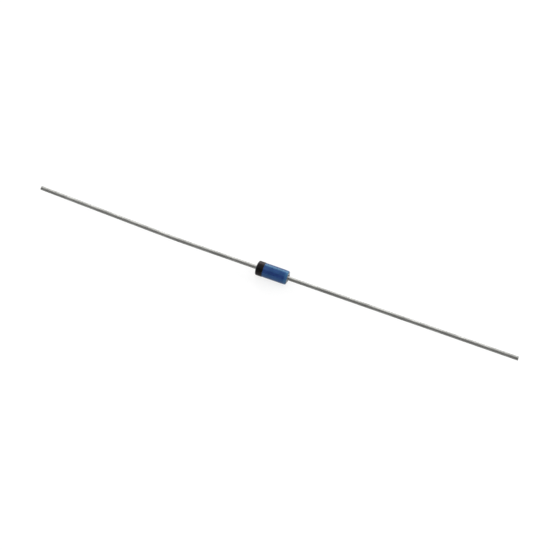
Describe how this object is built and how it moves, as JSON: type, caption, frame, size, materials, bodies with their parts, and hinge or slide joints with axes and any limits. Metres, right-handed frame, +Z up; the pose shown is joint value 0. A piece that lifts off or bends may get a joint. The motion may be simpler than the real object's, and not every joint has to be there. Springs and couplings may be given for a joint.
{
  "type": "zener diode",
  "caption": "Small axial glass diode with a blue lacquered body, a black cathode band and long tinned wire leads; it holds a reverse voltage at a set level.",
  "frame": {"origin": "middle of the glass sleeve, on the lead axis", "axes": "+X along the lead axis, towards the anode; +Y towards the side that the cathode lead bends to; +Z up"},
  "size_m": [0.0624, 0.0018, 0.0018],
  "materials": {
    "clear_glass": "melted rim, glossy",
    "blue_lacquer": "glossy lacquer film",
    "band_ink": "black ink, slightly less glossy than the lacquer",
    "stud_copper": "oxidised copper cladding",
    "silicon": "polished wafer with sawn edges",
    "silver": "matt plated silver",
    "tinned_wire": "satin tin plate with drawing lines"
  },
  "bodies": {
    "root": {"glass_sleeve": "clear_glass", "blue_lacquer": "blue_lacquer", "cathode_band": "band_ink", "anode_stud": "stud_copper", "cathode_stud": "stud_copper", "silicon_chip": "silicon", "contact_bump": "silver", "anode_lead": "tinned_wire", "cathode_lead": "tinned_wire"}
  },
  "joints": []
}
